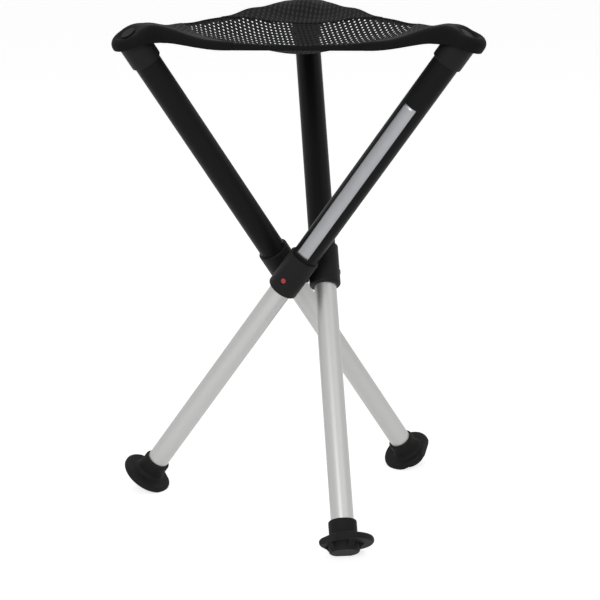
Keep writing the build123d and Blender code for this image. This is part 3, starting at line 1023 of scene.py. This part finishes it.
@dataclass
class LockClip:
    """Spring clip inside the lower tube, copied from the solid and carried by that tube.

    Sizes are distances from the leg's axis in millimetres: the far arm, and the pin's tip open and closed. The
    tip's sizes are not used.
    """

    leg: Leg
    arm: float = 8.6
    tip: float = 12.65
    closed: float = 10.4

    def build(self) -> bpy.types.Object:
        """Copy the solid's mesh and carry it with the lower tube.

        Returns:
            The clip.
        """
        node = f"lock_spring_{self.leg.name}"
        clip = bmesh.new()
        clip.from_mesh(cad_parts[node].data)
        bmesh.ops.remove_doubles(clip, verts=clip.verts, dist=0.01 * MM)
        bmesh.ops.scale(clip, vec=Vector((1.0, 1.0, 1.0)) / MM, verts=clip.verts)
        piece = finish_object(f"lock_clip_{self.leg.name}", clip, PLATED_STEEL.make())
        piece.data.set_sharp_from_angle(angle=math.radians(30))
        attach(piece, f"lower_{self.leg.name}")
        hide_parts(node)
        self.leg.point(0.0, -self.arm) * MM
        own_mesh(piece)
        return piece


@dataclass
class Frame:
    """The solids carried over from the CAD model, with their finishes."""

    finishes: dict[str, Finish] = field(default_factory=lambda: {
        "upper_tube": BLACK_ANODISED, "lower_tube": CLEAR_ANODISED, "glide_bush": MOULDED_NYLON,
        "joint_collar": MOULDED_NYLON, "pivot_rivet": PLATED_STEEL, "release_button": RED_ACETAL,
        "lock_spring": PLATED_STEEL, "top_cap": MOULDED_NYLON, "corner_rivet": RIVET_ACETAL,
        "foot": MOULDED_RUBBER, "hub_block": MOULDED_NYLON, "seat_corner": DOUBLE_KNIT,
        "seat_mesh": KNIT_THREAD, "seat_border": DOUBLE_KNIT,
    })

    def dress(self) -> None:
        """Give every node its finish, with the grain of tubes along their legs."""
        turns = {leg.name: leg.along.to_track_quat("Z", "Y").to_euler() for leg in LEGS}
        made: dict[tuple[str, str], bpy.types.Material] = {}
        for name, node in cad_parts.items():
            kind = name if name in self.finishes else name[:-2]
            finish = self.finishes[kind]
            leg = name[-1] if kind != name else ""
            key = (finish.name, leg)
            if key not in made:
                made[key] = finish.make(tuple(turns[leg]) if leg else (0.0, 0.0, 0.0))
            node.data.materials.clear()
            node.data.materials.append(made[key])
            LOG.info("dressed %s", name)


def seen_directly(tree: bpy.types.NodeTree) -> bpy.types.NodeSocket:
    """Add a switch between what is looked at and what only lights the stool.

    Args:
        tree: Node tree that takes the switch.

    Returns:
        Socket that is 1 for rays of the eye, of reflections and through clear pieces, and 0 for the rest.
    """
    rays = add_node(tree, "ShaderNodeLightPath")
    seen = rays.outputs["Is Camera Ray"]
    for kind in ("Is Glossy Ray", "Is Transmission Ray"):
        most = add_node(tree, "ShaderNodeMath", {0: seen, 1: rays.outputs[kind]}, operation="MAXIMUM")
        seen = most.outputs[0]
    return seen


@dataclass(frozen=True)
class Lamp:
    """A soft square lamp that points at the stool: its place and side in metres, its power in watts."""

    name: str
    place: tuple[float, float, float]
    size: float
    power: float
    target: tuple[float, float, float] = (0.0, 0.0, 0.25)

    def hang(self) -> None:
        """Hang the lamp and turn it to the stool."""
        light = bpy.data.lights.new(self.name, "AREA")
        light.size = self.size
        light.energy = self.power
        lamp = bpy.data.objects.new(self.name, light)
        lamp.location = self.place
        aim = Vector(self.target) - Vector(self.place)
        lamp.rotation_euler = aim.to_track_quat("-Z", "Y").to_euler()
        bpy.context.scene.collection.objects.link(lamp)


@dataclass
class Studio:
    """White floor, soft lamps and the camera, in metres."""

    camera_offset: tuple[float, float, float] = (0.05421, -1.7846, 0.404)
    camera_heading: float = 91.74
    camera_drop: float = 13.558
    focal_px: float = 1927.93
    image_px: float = 600.0
    sensor_mm: float = 36.0
    floor_size: float = 12.0
    floor_colour: str = "#e6e6e6"
    floor_roughness: float = 0.9
    floor_glow: float = 0.74
    fill_strength: float = 0.22
    lamps: tuple[Lamp, ...] = (
        Lamp("key", (-0.4, -2.3, 1.4), 0.9, 22.0),
        Lamp("fill", (1.6, -1.2, 1.8), 1.6, 4.0),
        Lamp("top", (-0.2, 0.6, 2.4), 1.8, 9.0),
    )

    def build(self) -> None:
        """Make the floor, world, lamps and camera."""
        self.floor()
        self.world()
        for lamp in self.lamps:
            lamp.hang()
        self.camera()

    def floor(self) -> None:
        """Make the white floor, whose own glow is seen only by the eye and in reflections."""
        plane = bmesh.new()
        bmesh.ops.create_grid(plane, x_segments=4, y_segments=4, size=self.floor_size / 2 / MM)
        material = bpy.data.materials.new("white_floor")
        material.use_nodes = True
        tree = material.node_tree
        shader = tree.nodes["Principled BSDF"]
        shader.inputs["Base Color"].default_value = linear(self.floor_colour)
        shader.inputs["Roughness"].default_value = self.floor_roughness
        shader.inputs["Emission Color"].default_value = (1.0, 1.0, 1.0, 1.0)
        glow = add_node(tree, "ShaderNodeMath", {0: seen_directly(tree), 1: self.floor_glow},
                        operation="MULTIPLY")
        tree.links.new(glow.outputs[0], shader.inputs["Emission Strength"])
        finish_object("floor", plane, material)

    def world(self) -> None:
        """Make the white surroundings, which light the stool less than they show."""
        world = bpy.data.worlds.new("studio")
        world.use_nodes = True
        bpy.context.scene.world = world
        tree = world.node_tree
        back = tree.nodes["Background"]
        back.inputs["Color"].default_value = (1.0, 1.0, 1.0, 1.0)
        strength = add_node(tree, "ShaderNodeMapRange", {
            "Value": seen_directly(tree), "To Min": self.fill_strength})
        tree.links.new(strength.outputs[0], back.inputs["Strength"])

    def camera(self) -> None:
        """Stand the camera where the photograph was taken from."""
        lens = bpy.data.cameras.new("camera")
        lens.sensor_width = self.sensor_mm
        lens.lens = self.focal_px / self.image_px * self.sensor_mm
        camera = bpy.data.objects.new("camera", lens)
        drop = math.radians(self.camera_drop)
        aim = heading(self.camera_heading) * math.cos(drop) - Vector((0, 0, math.sin(drop)))
        waist = Vector((STANCE.axis_x, STANCE.axis_y, STANCE.waist_height)) * MM
        camera.location = waist + Vector(self.camera_offset)
        camera.rotation_euler = aim.to_track_quat("-Z", "Y").to_euler()
        bpy.context.scene.collection.objects.link(camera)
        bpy.context.scene.camera = camera


def write_sizes() -> None:
    """Bring the view layer up to date.
    """
    bpy.context.view_layer.update()


def main() -> None:
    """Build the stool's looks in order."""
    logging.basicConfig(level=logging.INFO, format="%(message)s")
    bpy.context.scene.view_settings.view_transform = "Standard"
    Frame().dress()
    pieces = [SeatNet().build(), SeatHem().build()]
    right, rear, left = LEGS
    # The rear corner gets a weaker painted highlight along its inner edge
    pieces += [SeatCorner(right, puff=3.5, nose=4.5, bulge=5.0, hem_slant=11.0).build(),
               SeatCorner(rear, sweep=40.0, seam_highlight=0.6, cloth_area=0.0095, bump=1.6, bump_from=100.0,
                          bump_to=135.0, crown=5.0, puff=0.0, nose=0.0, plain_from=138.0,
                          plain_to=152.0).build(),
               SeatCorner(left).build(),
               TubeLabel(right).build()]
    pieces += [LockClip(leg).build() for leg in LEGS]
    for piece in pieces:
        LOG.info("built %s", piece.name)
    Studio().build()
    write_sizes()


if __name__ == "__main__":
    main()
